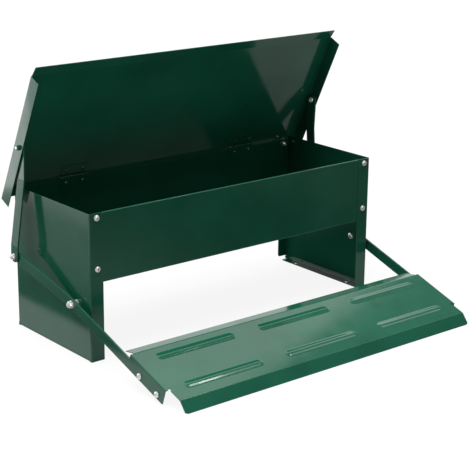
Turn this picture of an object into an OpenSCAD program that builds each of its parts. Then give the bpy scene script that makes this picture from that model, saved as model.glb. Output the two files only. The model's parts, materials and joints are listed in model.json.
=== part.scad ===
// Treadle chicken feeder in folded sheet steel. The lid is open and the treadle is down.
// Millimetres. X runs along the feeder, the front is at -Y, +Z is up, and the origin is on
// the floor at the middle of the body.

/* [Body] */
// Outer width of the body, across the side panels
body_w = 600; // [560:5:640]
// Outer depth of the body, front to back
body_d = 220; // [216:1:224]
// Height of the side panels
body_h = 244; // [242:1:246]
// Height of the feed trough's underside above the floor
trough_z = 129; // [125:1:133]
// Thickness of every folded sheet
sheet_t = 1.2; // [1:0.1:1.3]
// Width of the side panels' front flanges
front_flange = 25; // [22:1:28]
// Width of the side panels' rear flanges
rear_flange = 20; // [18:1:22]
// Width of the side panels' foot flanges
foot_flange = 16; // [15:1:18]
// Distance between the floor holes, along X
floor_hole_dx = 582; // [580:1:584]
// Distance between the floor holes, along Y
floor_hole_dy = 140; // [120:2:150]
// Diameter of the floor holes
floor_hole_d = 5.5; // [5:0.5:6]

/* [Lid] */
// Angle that the lid stands open, from closed
lid_open = 64.4; // [60:0.2:66]
// Lid from the hinge axis to the front fold
lid_front = 220; // [216:1:222]
// Lid behind the hinge axis
lid_rear = 23.5; // [20:0.5:26]
// Outer width of the lid
lid_w = 636; // [636:0.2:637]
// Depth of the lid's side flanges
lid_flange = 24.5; // [23:0.5:26]
// Depth of the lid's front lip
lid_lip = 18; // [15:1:20]
// Bend of the front lip below the lid
lid_lip_bend = 12; // [8:1:20]
// Taper at each end of the front lip
lid_lip_taper = 3; // [0:0.5:6]

/* [Treadle] */
// Slope of the treadle and its arms, down to the front
treadle_slope = 18.5; // [18:0.1:18.5]
// Height of the arms' pivot above the floor
pivot_z = 89.5; // [89.5:0.1:91]
// Distance of the arms' pivot in front of the body's middle
pivot_front = 71; // [68:1:74]
// Pivot to the treadle plate's rear fold
plate_start = 163; // [161:1:165]
// Depth of the treadle plate, from fold to fold
plate_depth = 120; // [118:1:120]
// Outer width of the treadle, across its side flanges
treadle_w = 622; // [622:0.2:622.4]
// Height of the plate's top above the arms' centre line
plate_rise = 18.5; // [18.5:0.1:19]
// Length of the treadle's side flanges
side_flange_len = 93; // [90:1:95]
// Depth of the treadle's side flanges
side_flange = 26; // [25:0.5:26]
// Depth of the treadle's front flange
nose_flange = 22; // [20:0.5:22]
// Bend of the front flange below the plate
nose_bend = 32; // [30:1:34]
// Depth of the treadle's rear flange
heel_flange = 24; // [10:1:26]
// Bend of the rear flange, degrees
heel_bend = 26.5; // [18:0.5:30]
// Width of the rear flange
heel_w = 606; // [590:1:610]
// Height of the embossed beads
bead_rise = 1.2; // [1:0.1:2]
// Width of the embossed beads
bead_w = 18; // [14:1:20]
// Length of the embossed beads
bead_len = 154; // [140:1:158]

/* [Linkage] */
// Thickness of the arms and link bars
bar_t = 3; // [2.5:0.1:3]
// Width of the arms
arm_w = 18; // [16:1:19]
// Width of the link bars
link_w = 20; // [18:1:21]
// Arm length behind the pivot
arm_rear = 148; // [147:1:149]
// Link bolt's distance in front of the hinge axis, along the closed lid
link_along = 91; // [90:1:92]
// Link bolt's distance below the hinge axis, with the lid closed
link_below = 10.5; // [9:0.5:12]

/* [Hinges] */
// Width of a hinge
hinge_w = 50; // [45:1:60]
// Distance of each hinge from the middle
hinge_x = 184; // [150:2:230]
// Height of a hinge leaf, from the pin's axis
leaf_h = 22; // [20:1:25]
// Outer diameter of the hinge barrel
barrel_d = 5.6; // [5.6:0.1:5.8]
// Diameter of the hinge pin
hinge_pin_d = 3; // [2.5:0.1:3]

/* [Hidden] */
$fn = 48;

// Body
half_w = body_w / 2;
half_d = body_d / 2;
edge_gap = 0.3;
notch = 6;
trough_half_w = half_w - sheet_t - edge_gap;
front_top = body_h - 0.5;
back_top = body_h - 6;
hem_h = 8;
trough_flange = 15;
panel_y = half_d - sheet_t;
inner_y = panel_y - sheet_t;
front_screw_x = half_w - 14;
front_screw_low = trough_z + 24;
front_screw_high = body_h - 8;
back_screw_x = half_w - 13;
back_screw_low = trough_z + 24;
back_screw_high = back_top - 8;
rivet_pitch = 200;
rivet_y = inner_y - trough_flange / 2;

// Fasteners: shank radius, head radius, head height
m5 = [2.5, 4.8, 3.3];
m6 = [3, 6, 3.8];
fit = 0.05;
hole_gap = 0.2;
m5_nut_af = 8;
m6_nut_af = 10;
m5_nut_h = 4.6;
m6_nut_h = 6;
shank_tail = 1;
washer_h = 1.2;
bush_r = 6;
m5_washer_r = 5;
m6_washer_r = 6.2;
rivet_r = 2;
rivet_head_r = 4;
rivet_head_h = 1.4;
rivet_tail_r = 3;

// Lid and hinges
barrel_r = barrel_d / 2;
lid_gap = 0.3;
hinge_z = body_h + lid_gap - barrel_r;
hinge_y = half_d - 1;
lid_under = barrel_r;
lid_half = lid_w / 2;
leaf_t = 1.2;
knuckles = 5;
knuckle_gap = 0.15;
leaf_back = inner_y - leaf_t - hinge_y;
leaf_rivet = 10.5;
leaf_rivet_dx = 16.5;

// Treadle
treadle_half = treadle_w / 2;
nose_half = treadle_half - 7.5;
plate_end = plate_start + plate_depth;
corner_r = 5;
bead_rows = [plate_start + 21, plate_end - 27];
bead_cols = [-201, 0, 201];
treadle_screws_s = [plate_start + 31, plate_start + 77];
arm_end = plate_start + 80;

// Linkage: X faces of the stack, from the side panel outwards
arm_x = treadle_half - sheet_t - bar_t;
arm_rear_x = half_w + 22;
link_low_x = arm_rear_x + bar_t + edge_gap;
lid_inner_x = lid_half - sheet_t;
spacer_h = 1.4;
link_top_x = lid_inner_x - spacer_h - edge_gap - bar_t;
link_head_x = link_top_x - edge_gap;
arm_flare = [15, 132];
link_flare = [18, 130];
arm_link_y = -pivot_front + arm_rear * cos(treadle_slope);
arm_link_z = pivot_z + arm_rear * sin(treadle_slope);
lid_link_y = hinge_y - link_along * cos(lid_open) - link_below * sin(lid_open);
lid_link_z = hinge_z + link_along * sin(lid_open) - link_below * cos(lid_open);
link_len = norm([lid_link_y - arm_link_y, lid_link_z - arm_link_z]);
link_lean = atan2(arm_link_y - lid_link_y, lid_link_z - arm_link_z);

// Frames: each one places its children at rest
module on_side(side) {
    mirror([side < 0 ? 1 : 0, 0, 0]) children();
}

module on_both_sides() {
    for (side = [-1, 1]) on_side(side) children();
}

module in_lid() {
    translate([0, hinge_y, hinge_z]) rotate([-lid_open, 0, 0]) children();
}

module in_treadle() {
    translate([0, -pivot_front, pivot_z]) rotate([treadle_slope, 0, 0]) children();
}

module in_link() {
    translate([0, arm_link_y, arm_link_z]) rotate([link_lean, 0, 0]) children();
}

// An outline in the YZ plane, thickened along +X
module along_x(length) {
    rotate([90, 0, 90]) linear_extrude(length) children();
}

// A round bar along +X, +Y or +Z
module rod_x(r, length) {
    rotate([0, 90, 0]) cylinder(r = r, h = length);
}

module rod_y(r, length) {
    rotate([-90, 0, 0]) cylinder(r = r, h = length);
}

// Fasteners: the head's seat is at z = 0 and the shank points down
module pan_screw(size, length, colour = "silver") {
    recess_w = size[0] * 0.45;
    recess_l = size[1] * 1.1;
    color(colour)
    difference() {
        union() {
            rotate_extrude()
                polygon([[0, 0], [size[1], 0], [size[1], size[2] * 0.4],
                         [size[1] * 0.65, size[2]], [0, size[2]]]);
            translate([0, 0, -length]) cylinder(r = size[0], h = length);
        }
        for (turn = [0, 90])
            rotate([0, 0, turn])
                translate([-recess_l / 2, -recess_w / 2, size[2] * 0.5])
                    cube([recess_l, recess_w, size[2]]);
    }
}

module lock_nut(r, across, height, colour = "silver") {
    collar_h = height * 0.25;
    color(colour)
    difference() {
        union() {
            cylinder(r = across / sqrt(3), h = height - collar_h, $fn = 6);
            cylinder(r = across * 0.42, h = height);
        }
        translate([0, 0, -1]) cylinder(r = r + fit, h = height + 2);
    }
}

module ring(inner_r, outer_r, height, colour = "silver") {
    color(colour)
    difference() {
        cylinder(r = outer_r, h = height);
        translate([0, 0, -1]) cylinder(r = inner_r, h = height + 2);
    }
}

module rivet(grip) {
    color("darkgreen") {
        rotate_extrude()
            polygon([[0, 0], [rivet_head_r, 0], [rivet_head_r * 0.7, rivet_head_h * 0.75],
                     [0, rivet_head_h]]);
        translate([0, 0, -grip]) cylinder(r = rivet_r, h = grip);
        translate([0, 0, -grip - rivet_head_h]) cylinder(r = rivet_tail_r, h = rivet_head_h);
    }
}

// Screw places on the right-hand half of the body
module at_front_screws() {
    for (z = [front_screw_low, front_screw_high])
        translate([front_screw_x, -half_d, z]) rotate([90, 0, 0]) children();
}

module at_back_screws() {
    for (z = [back_screw_low, back_screw_high])
        translate([back_screw_x, half_d, z]) rotate([-90, 0, 0]) children();
}

module at_floor_rivets() {
    for (x = [-rivet_pitch, 0, rivet_pitch], y = [-rivet_y, rivet_y])
        translate([x, y, trough_z + 2 * sheet_t]) children();
}

// Side panel: a wall with a front, a rear and a foot flange
module side_panel() {
    wall_chamfer = 3;
    color("darkgreen")
    difference() {
        union() {
            translate([half_w - sheet_t, 0, 0]) along_x(sheet_t)
                polygon([[-half_d, 0], [half_d, 0], [half_d, body_h - wall_chamfer],
                         [half_d - wall_chamfer, body_h], [-half_d, body_h]]);
            translate([half_w - front_flange, -half_d, 0])
                cube([front_flange, sheet_t, body_h]);
            translate([half_w - rear_flange, half_d - sheet_t, notch])
                cube([rear_flange, sheet_t, back_top - notch]);
            translate([half_w - foot_flange, -half_d + notch, 0])
                cube([foot_flange, body_d - 2 * notch, sheet_t]);
        }
        translate([half_w - 2 * sheet_t, -pivot_front, pivot_z])
            rod_x(m6[0] + hole_gap, 3 * sheet_t);
        for (y = [-floor_hole_dy / 2, floor_hole_dy / 2])
            translate([floor_hole_dx / 2, y, -sheet_t])
                cylinder(d = floor_hole_d, h = 3 * sheet_t);
        at_front_screws() translate([0, 0, -2 * sheet_t])
            cylinder(r = m5[0] + hole_gap, h = 3 * sheet_t);
        at_back_screws() translate([0, 0, -2 * sheet_t])
            cylinder(r = m5[0] + hole_gap, h = 3 * sheet_t);
    }
}

module left_side_panel() {
    on_side(-1) side_panel();
}

module right_side_panel() {
    side_panel();
}

// Front of the trough, with a folded hem along its top and a flange under the floor
module front_panel() {
    color("darkgreen")
    difference() {
        union() {
            translate([-trough_half_w, -panel_y, trough_z])
                cube([2 * trough_half_w, sheet_t, front_top - trough_z]);
            translate([-trough_half_w + front_flange, -panel_y, front_top - sheet_t])
                cube([2 * (trough_half_w - front_flange), 3 * sheet_t, sheet_t]);
            translate([-trough_half_w + front_flange, -panel_y + 2 * sheet_t, front_top - hem_h])
                cube([2 * (trough_half_w - front_flange), sheet_t, hem_h]);
            translate([-trough_half_w, -panel_y, trough_z])
                cube([2 * trough_half_w, trough_flange, sheet_t]);
        }
        on_both_sides() at_front_screws() translate([0, 0, -3 * sheet_t])
            cylinder(r = m5[0] + hole_gap, h = 4 * sheet_t);
        at_floor_rivets() translate([0, 0, -3 * sheet_t])
            cylinder(r = rivet_r + fit, h = 4 * sheet_t);
    }
}

// Back of the trough, which carries the lid's hinges
module back_panel() {
    color("darkgreen")
    difference() {
        union() {
            translate([-trough_half_w, inner_y, trough_z])
                cube([2 * trough_half_w, sheet_t, back_top - trough_z]);
            translate([-trough_half_w, panel_y - trough_flange, trough_z])
                cube([2 * trough_half_w, trough_flange, sheet_t]);
        }
        on_both_sides() at_back_screws() translate([0, 0, -3 * sheet_t])
            cylinder(r = m5[0] + hole_gap, h = 4 * sheet_t);
        at_floor_rivets() translate([0, 0, -3 * sheet_t])
            cylinder(r = rivet_r + fit, h = 4 * sheet_t);
        on_both_sides() at_body_leaf_rivets() translate([0, 0, -3 * sheet_t])
            cylinder(r = rivet_r + fit, h = 4 * sheet_t);
    }
}

// Flat sheet that rests on the front and back panels' flanges
module trough_floor() {
    color("darkgreen")
    difference() {
        translate([-trough_half_w, -inner_y, trough_z + sheet_t])
            cube([2 * trough_half_w, 2 * inner_y, sheet_t]);
        at_floor_rivets() translate([0, 0, -3 * sheet_t])
            cylinder(r = rivet_r + fit, h = 4 * sheet_t);
    }
}

module trough_floor_rivets() {
    at_floor_rivets() rivet(2 * sheet_t);
}

module front_panel_screws() {
    on_both_sides() at_front_screws() pan_screw(m5, 2 * sheet_t + m5_nut_h + shank_tail);
}

module front_panel_nuts() {
    on_both_sides() at_front_screws() translate([0, 0, -2 * sheet_t]) rotate([180, 0, 0])
        lock_nut(m5[0], m5_nut_af, m5_nut_h);
}

module back_panel_screws() {
    on_both_sides() at_back_screws() pan_screw(m5, 2 * sheet_t + m5_nut_h + shank_tail);
}

module back_panel_nuts() {
    on_both_sides() at_back_screws() translate([0, 0, -2 * sheet_t]) rotate([180, 0, 0])
        lock_nut(m5[0], m5_nut_af, m5_nut_h);
}

// Main pivot: bolt from inside, bush, arm, washer and lock nut
module at_pivot(x) {
    translate([x, -pivot_front, pivot_z]) rotate([0, 90, 0]) children();
}

module pivot_bolt() {
    grip = arm_x + bar_t + hole_gap + washer_h + m6_nut_h + shank_tail - half_w + sheet_t;
    at_pivot(half_w - sheet_t) rotate([180, 0, 0]) pan_screw(m6, grip);
}

module left_pivot_bolt() {
    on_side(-1) pivot_bolt();
}

module right_pivot_bolt() {
    pivot_bolt();
}

module pivot_bushes() {
    on_both_sides() at_pivot(half_w)
        ring(m6[0] + hole_gap, bush_r, arm_x - half_w - hole_gap);
}

module pivot_washers() {
    on_both_sides() at_pivot(arm_x + bar_t + hole_gap)
        ring(m6[0] + hole_gap, m6_washer_r, washer_h);
}

module pivot_nuts() {
    on_both_sides() at_pivot(arm_x + bar_t + hole_gap + washer_h)
        lock_nut(m6[0], m6_nut_af, m6_nut_h);
}

// Hinges: the pin's axis is the local X axis, and the leaf hangs down behind y = leaf_back
module at_hinge() {
    translate([hinge_x, hinge_y, hinge_z]) children();
}

module knuckle_row(first, r, gap) {
    pitch = hinge_w / knuckles;
    for (i = [first : 2 : knuckles - 1])
        translate([-hinge_w / 2 + i * pitch + gap, 0, 0]) rod_x(r, pitch - 2 * gap);
}

module at_body_leaf_rivets() {
    at_hinge()
        for (x = [-leaf_rivet_dx, leaf_rivet_dx])
            translate([x, leaf_back, -leaf_rivet]) rotate([90, 0, 0]) children();
}

module at_lid_leaf_rivets() {
    for (x = [-leaf_rivet_dx, leaf_rivet_dx])
        translate([hinge_x + x, -leaf_rivet, lid_under - leaf_t]) rotate([180, 0, 0]) children();
}

module body_hinge_leaf() {
    color("darkgreen")
    difference() {
        at_hinge() difference() {
            union() {
                knuckle_row(0, barrel_r, knuckle_gap);
                translate([-hinge_w / 2, leaf_back, -leaf_h]) cube([hinge_w, leaf_t, leaf_h]);
            }
            knuckle_row(1, barrel_r + edge_gap, -knuckle_gap);
            translate([-hinge_w, 0, 0]) rod_x(hinge_pin_d / 2 + fit, 2 * hinge_w);
        }
        at_body_leaf_rivets() translate([0, 0, -2 * leaf_t])
            cylinder(r = rivet_r + fit, h = 3 * leaf_t);
    }
}

module lid_hinge_leaf() {
    color("darkgreen")
    in_lid() difference() {
        translate([hinge_x, 0, 0]) difference() {
            union() {
                knuckle_row(1, barrel_r, knuckle_gap);
                translate([-hinge_w / 2, -leaf_h, lid_under - leaf_t])
                    cube([hinge_w, leaf_h, leaf_t]);
            }
            knuckle_row(0, barrel_r + edge_gap, -knuckle_gap);
            translate([-hinge_w, 0, 0]) rod_x(hinge_pin_d / 2 + fit, 2 * hinge_w);
        }
        at_lid_leaf_rivets() translate([0, 0, -2 * leaf_t])
            cylinder(r = rivet_r + fit, h = 3 * leaf_t);
    }
}

module left_body_hinge_leaf() {
    on_side(-1) body_hinge_leaf();
}

module right_body_hinge_leaf() {
    body_hinge_leaf();
}

module left_lid_hinge_leaf() {
    on_side(-1) lid_hinge_leaf();
}

module right_lid_hinge_leaf() {
    lid_hinge_leaf();
}

module hinge_pins() {
    color("silver") on_both_sides() at_hinge()
        translate([-hinge_w / 2, 0, 0]) rod_x(hinge_pin_d / 2, hinge_w);
}

module body_hinge_rivets() {
    on_both_sides() at_body_leaf_rivets() rivet(leaf_t + sheet_t);
}

module lid_hinge_rivets() {
    in_lid() on_both_sides() at_lid_leaf_rivets() rivet(leaf_t + sheet_t);
}

// Lid, drawn closed around the hinge axis: +Z is its outer face, and the front is at -Y
module lid_panel() {
    color("darkgreen")
    in_lid() difference() {
        union() {
            translate([-lid_half, -lid_front, lid_under])
                cube([lid_w, lid_front + lid_rear, sheet_t]);
            for (x = [-lid_half, lid_half - sheet_t])
                translate([x, -lid_front, lid_under + sheet_t - lid_flange])
                    cube([sheet_t, lid_front + lid_rear, lid_flange]);
            translate([0, -lid_front, lid_under + sheet_t]) rotate([lid_lip_bend, 0, 0])
                translate([0, 0, -sheet_t]) linear_extrude(sheet_t)
                    polygon([[-lid_half, 0], [-lid_half + lid_lip_taper, -lid_lip],
                             [lid_half - lid_lip_taper, -lid_lip], [lid_half, 0]]);
        }
        on_both_sides() translate([lid_inner_x - sheet_t, -link_along, -link_below])
            rod_x(m5[0] + hole_gap, 3 * sheet_t);
        on_both_sides() at_lid_leaf_rivets() translate([0, 0, -3 * leaf_t])
            cylinder(r = rivet_r + fit, h = 4 * leaf_t);
    }
}

module at_lid_link(x) {
    in_lid() translate([x, -link_along, -link_below]) rotate([0, 90, 0]) children();
}

// Joint between the link bar and the lid: screw from inside, bar, spacer, flange and nut
module lid_link_bolts() {
    grip = lid_half + m5_nut_h + shank_tail - link_head_x;
    on_both_sides() at_lid_link(link_head_x) rotate([180, 0, 0]) pan_screw(m5, grip);
}

module lid_link_spacers() {
    on_both_sides() at_lid_link(lid_inner_x - spacer_h)
        ring(m5[0] + hole_gap, bush_r, spacer_h);
}

module lid_link_nuts() {
    on_both_sides() at_lid_link(lid_half) lock_nut(m5[0], m5_nut_af, m5_nut_h, "darkgreen");
}

// A flat bar with a joggle, along +Z: inner faces x_low at the bottom and x_high at the top
module joggled_bar(length, width, x_low, x_high, flare) {
    r = width / 2;
    intersection() {
        along_x(2 * half_w) {
            translate([-r, 0]) square([width, length]);
            circle(r = r);
            translate([0, length]) circle(r = r);
        }
        translate([0, r, 0]) rotate([90, 0, 0]) linear_extrude(width)
            polygon([[x_low, -r], [x_low + bar_t, -r], [x_low + bar_t, flare[0]],
                     [x_high + bar_t, flare[1]], [x_high + bar_t, length + r],
                     [x_high, length + r], [x_high, flare[1]], [x_low, flare[0]]]);
    }
}

module link_bar() {
    color("darkgreen")
    in_link() difference() {
        joggled_bar(link_len, link_w, link_low_x, link_top_x, link_flare);
        translate([link_low_x - bar_t, 0, 0]) rod_x(m5[0] + fit, 3 * bar_t);
        translate([link_top_x - bar_t, 0, link_len]) rod_x(m5[0] + fit, 3 * bar_t);
    }
}

module left_link_bar() {
    on_side(-1) link_bar();
}

module right_link_bar() {
    link_bar();
}

// Joint between the arm and the link bar: the arm's bolt meets the bar's stud between them
module at_arm_link(x) {
    translate([x, arm_link_y, arm_link_z]) rotate([0, 90, 0]) children();
}

module link_stud() {
    length = bar_t + edge_gap + washer_h + m5_nut_h + shank_tail;
    color("silver") at_arm_link(link_low_x) cylinder(r = m5[0], h = length);
}

module link_washer() {
    at_arm_link(link_low_x + bar_t + edge_gap) ring(m5[0] + hole_gap, m5_washer_r, washer_h);
}

module link_nut() {
    at_arm_link(link_low_x + bar_t + edge_gap + washer_h)
        lock_nut(m5[0], m5_nut_af, m5_nut_h);
}

module left_link_stud() {
    on_side(-1) link_stud();
}

module right_link_stud() {
    link_stud();
}

module left_link_washer() {
    on_side(-1) link_washer();
}

module right_link_washer() {
    link_washer();
}

module left_link_nut() {
    on_side(-1) link_nut();
}

module right_link_nut() {
    link_nut();
}

module arm_link_bolts() {
    on_both_sides() at_arm_link(arm_rear_x) rotate([180, 0, 0]) pan_screw(m5, bar_t);
}

// Treadle, drawn around the pivot: +Z is its top face, and the front is at -Y
// A bead is a slice of a round-ended bar; inset gives the hollow under it
module bead(inset = 0) {
    r = (bead_w * bead_w / 4 + bead_rise * bead_rise) / (2 * bead_rise) - inset;
    straight = bead_len - bead_w;
    translate([-straight / 2, 0, bead_rise - r - inset]) {
        rod_x(r, straight);
        sphere(r = r);
        translate([straight, 0, 0]) sphere(r = r);
    }
}

module at_beads() {
    for (x = bead_cols, s = bead_rows) translate([x, -s, plate_rise]) children();
}

module plate_outline() {
    difference() {
        union() {
            translate([-treadle_half, -plate_start - side_flange_len])
                square([treadle_w, side_flange_len]);
            translate([-nose_half, -plate_end]) square([2 * nose_half, plate_depth]);
        }
        for (x = [-nose_half, nose_half])
            translate([x, -plate_start - side_flange_len]) circle(r = corner_r / 2);
    }
}

module treadle_plate() {
    color("darkgreen")
    in_treadle() difference() {
        union() {
            translate([0, 0, plate_rise - sheet_t]) linear_extrude(sheet_t) plate_outline();
            intersection() {
                at_beads() bead();
                translate([-treadle_half, -plate_end, plate_rise - sheet_t / 2])
                    cube([treadle_w, plate_depth, bead_rise + sheet_t]);
            }
            for (x = [-treadle_half, treadle_half - sheet_t])
                translate([x, -plate_start - side_flange_len, plate_rise - side_flange])
                    cube([sheet_t, side_flange_len, side_flange]);
            translate([-nose_half, -plate_end, plate_rise]) rotate([nose_bend, 0, 0])
                translate([0, -nose_flange, -sheet_t])
                    cube([2 * nose_half, nose_flange, sheet_t]);
            translate([-heel_w / 2, -plate_start, plate_rise]) rotate([-heel_bend, 0, 0])
                translate([0, 0, -sheet_t]) cube([heel_w, heel_flange, sheet_t]);
        }
        intersection() {
            at_beads() bead(sheet_t);
            translate([-treadle_half, -plate_end, plate_rise - 2 * sheet_t])
                cube([treadle_w, plate_depth, bead_rise + 2 * sheet_t]);
        }
        on_both_sides() at_treadle_screws() translate([0, 0, -2 * sheet_t])
            cylinder(r = m5[0] + hole_gap, h = 3 * sheet_t);
    }
}

module at_treadle_screws() {
    for (s = treadle_screws_s) translate([treadle_half, -s, 0]) rotate([0, 90, 0]) children();
}

// Arm along the treadle's side: flat at the pivot and at the treadle, flared at its rear end
module treadle_arm() {
    r = arm_w / 2;
    reach = arm_rear + arm_end;
    color("darkgreen")
    in_treadle() difference() {
        intersection() {
            along_x(2 * half_w) {
                translate([-arm_end, -r]) square([reach, arm_w]);
                translate([-arm_end, 0]) circle(r = r);
                translate([arm_rear, 0]) circle(r = r);
            }
            translate([0, 0, -r]) linear_extrude(arm_w)
                polygon([[arm_x, -arm_end - r], [arm_x + bar_t, -arm_end - r],
                         [arm_x + bar_t, arm_flare[0]], [arm_rear_x + bar_t, arm_flare[1]],
                         [arm_rear_x + bar_t, arm_rear + r], [arm_rear_x, arm_rear + r],
                         [arm_rear_x, arm_flare[1]], [arm_x, arm_flare[0]]]);
        }
        translate([arm_x - 1, 0, 0]) rod_x(m6[0] + fit, bar_t + 2);
        translate([arm_rear_x - 1, arm_rear, 0]) rod_x(m5[0] + hole_gap, bar_t + 2);
        at_treadle_screws() translate([0, 0, -3 * bar_t])
            cylinder(r = m5[0] + hole_gap, h = 3 * bar_t);
    }
}

module left_treadle_arm() {
    on_side(-1) treadle_arm();
}

module right_treadle_arm() {
    treadle_arm();
}

module treadle_screws() {
    in_treadle() on_both_sides() at_treadle_screws()
        pan_screw(m5, sheet_t + bar_t + m5_nut_h + shank_tail);
}

module treadle_nuts() {
    in_treadle() on_both_sides() at_treadle_screws() translate([0, 0, -sheet_t - bar_t])
        rotate([180, 0, 0]) lock_nut(m5[0], m5_nut_af, m5_nut_h);
}

left_side_panel();
right_side_panel();
front_panel();
back_panel();
trough_floor();
trough_floor_rivets();
front_panel_screws();
front_panel_nuts();
back_panel_screws();
back_panel_nuts();
left_pivot_bolt();
right_pivot_bolt();
pivot_bushes();
pivot_washers();
pivot_nuts();
left_body_hinge_leaf();
right_body_hinge_leaf();
hinge_pins();
body_hinge_rivets();
lid_panel();
left_lid_hinge_leaf();
right_lid_hinge_leaf();
lid_hinge_rivets();
lid_link_bolts();
lid_link_spacers();
lid_link_nuts();
left_link_bar();
right_link_bar();
left_link_stud();
right_link_stud();
left_link_washer();
right_link_washer();
left_link_nut();
right_link_nut();
treadle_plate();
left_treadle_arm();
right_treadle_arm();
treadle_screws();
treadle_nuts();
arm_link_bolts();
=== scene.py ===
"""Looks of the treadle chicken feeder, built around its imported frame.

Shapes are worked out in millimetres, in the same places as the CAD nodes that they stand for,
and become metres when their meshes are made.
"""
import json
import math

import bmesh
import bpy
from mathutils import Matrix, Vector
from mathutils.geometry import delaunay_2d_cdt


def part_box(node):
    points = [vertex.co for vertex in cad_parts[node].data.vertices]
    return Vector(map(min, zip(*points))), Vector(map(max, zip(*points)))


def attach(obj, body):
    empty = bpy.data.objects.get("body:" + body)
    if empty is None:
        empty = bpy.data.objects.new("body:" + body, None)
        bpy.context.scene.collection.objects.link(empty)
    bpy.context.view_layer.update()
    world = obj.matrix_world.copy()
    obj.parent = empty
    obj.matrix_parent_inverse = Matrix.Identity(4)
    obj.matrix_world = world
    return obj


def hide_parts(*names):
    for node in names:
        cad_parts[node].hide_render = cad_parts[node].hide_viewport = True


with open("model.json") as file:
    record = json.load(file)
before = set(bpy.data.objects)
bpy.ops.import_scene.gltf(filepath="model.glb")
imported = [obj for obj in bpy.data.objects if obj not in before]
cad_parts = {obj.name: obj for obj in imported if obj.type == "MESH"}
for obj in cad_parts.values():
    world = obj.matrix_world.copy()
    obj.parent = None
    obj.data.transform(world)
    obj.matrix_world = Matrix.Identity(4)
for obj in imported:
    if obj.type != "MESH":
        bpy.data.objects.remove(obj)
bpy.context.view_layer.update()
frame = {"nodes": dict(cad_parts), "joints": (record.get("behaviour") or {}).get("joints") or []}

MM = 0.001
GREEN_SLOT = "green_powder_coat"
ZINC_SLOT = "zinc_plated_steel"

# ---------------------------- sizes in mm, bends in degrees


def box_mm(node):
    low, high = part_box(node)
    return low / MM, high / MM


def pivot_mm(joint):
    found = next(j for j in frame["joints"] if j["name"] == joint)
    return Vector(found["pos_m"]) / MM


panel_low, panel_high = box_mm("right_side_panel")
HALF_W, HALF_D, BODY_H = panel_high
FRONT_FLANGE = HALF_W - panel_low.x
REAR_FLANGE = 20
FOOT_FLANGE = 16
NOTCH = 6
REAR_CHAMFER = 3
SHEET_T, SHEET_EDGE = 1.2, 0.25
BEND_R = 2.3
CORNER_CUT = 3
# A relief cut where two folds meet: its width, and how far it runs past the bend
SLIT, SLIT_PAST = 0.8, 1.2

trough_low, trough_high = box_mm("front_panel")
TROUGH_HALF_W, TROUGH_Z, FRONT_TOP = trough_high.x, trough_low.z, trough_high.z
BACK_TOP = box_mm("back_panel")[1].z
HEM_R = 1.5 * SHEET_T
HEM_H = 8
TROUGH_FLANGE = 15
SCREW_X = HALF_W - 14
BACK_SCREW_X = HALF_W - 13
SCREW_LOW = TROUGH_Z + 24
# The floor holes' distances from the middle, across and along the foot, and their radius
FLOOR_HOLE_X, FLOOR_HOLE_Y, FLOOR_HOLE_R = 291, 70, 2.75
RIVET_HOLE_R = 2.05
RIVET_Y = HALF_D - 2 * SHEET_T - TROUGH_FLANGE / 2
FLOOR_RIVETS_X, FLOOR_RIVETS_Y = (-200, 0, 200), (-RIVET_Y, RIVET_Y)
FRONT_SCREWS_Z = (SCREW_LOW, BODY_H - 8)
BACK_SCREWS_Z = (SCREW_LOW, BACK_TOP - 8)

HINGE = pivot_mm("lid_hinge")
LID_OPEN = math.radians(64.4)
LID_HALF = box_mm("lid_panel")[1].x
LID_FRONT, LID_REAR = 220, 23.5
LID_FLANGE, LID_LIP, LID_LIP_BEND, LIP_TAPER = 24.5, 18, 12, 3
LID_BEND_R, LIP_BEND_R = 2, 3
# The lip's inset at its fold, and its slit, corner cut and clearance
LIP_INSET, LIP_SLIT, LIP_CORNER, LIP_EASE = 2.6, 1, 1, 0.2
LIP_RELIEF = 1.6
LID_UNDER = 2.8
LEAF_W, LEAF_X, LEAF_H = 50, 184, 22
LEAF_T, LEAF_EDGE, LEAF_GAP = 1, 0.12, 0.2
KNUCKLES, KNUCKLE_GAP, KNUCKLE_CLEAR, KNUCKLE_TURN = 5, 0.15, 0.6, 310
LEAF_FACE = HALF_D - 2 * SHEET_T - LEAF_T - LEAF_GAP
RIVET_DROP, LEAF_RIVETS_X = 10.5, (-16.5, 16.5)

PIVOT = pivot_mm("treadle_pivot")
SLOPE = math.radians(18.5)
TREADLE_HALF, NOSE_HALF, HEEL_HALF = 311, 303.5, 303
PLATE_START, PLATE_DEPTH, PLATE_RISE = 163, 120, 18.5
SIDE_FLANGE, SIDE_FLANGE_LEN, SIDE_FLANGE_CORNER = 26, 93, 1.2
NOSE_FLANGE, NOSE_BEND, NOSE_BEND_R, NOSE_CUT = 22, 32, 3, 2.5
HEEL_FLANGE, HEEL_BEND, HEEL_BEND_R = 24, 26.5, 5
RELIEF_R, HEEL_SLIT, HEEL_SLIT_DEPTH = 2.5, 1, 3
TREADLE_SCREWS = (194, 240)
BEAD_COLS, BEAD_ROWS = (-201, 0, 201), (184, 256)
BEAD_LEN, BEAD_W, BEAD_RISE = 154, 18, 1.2

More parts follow.
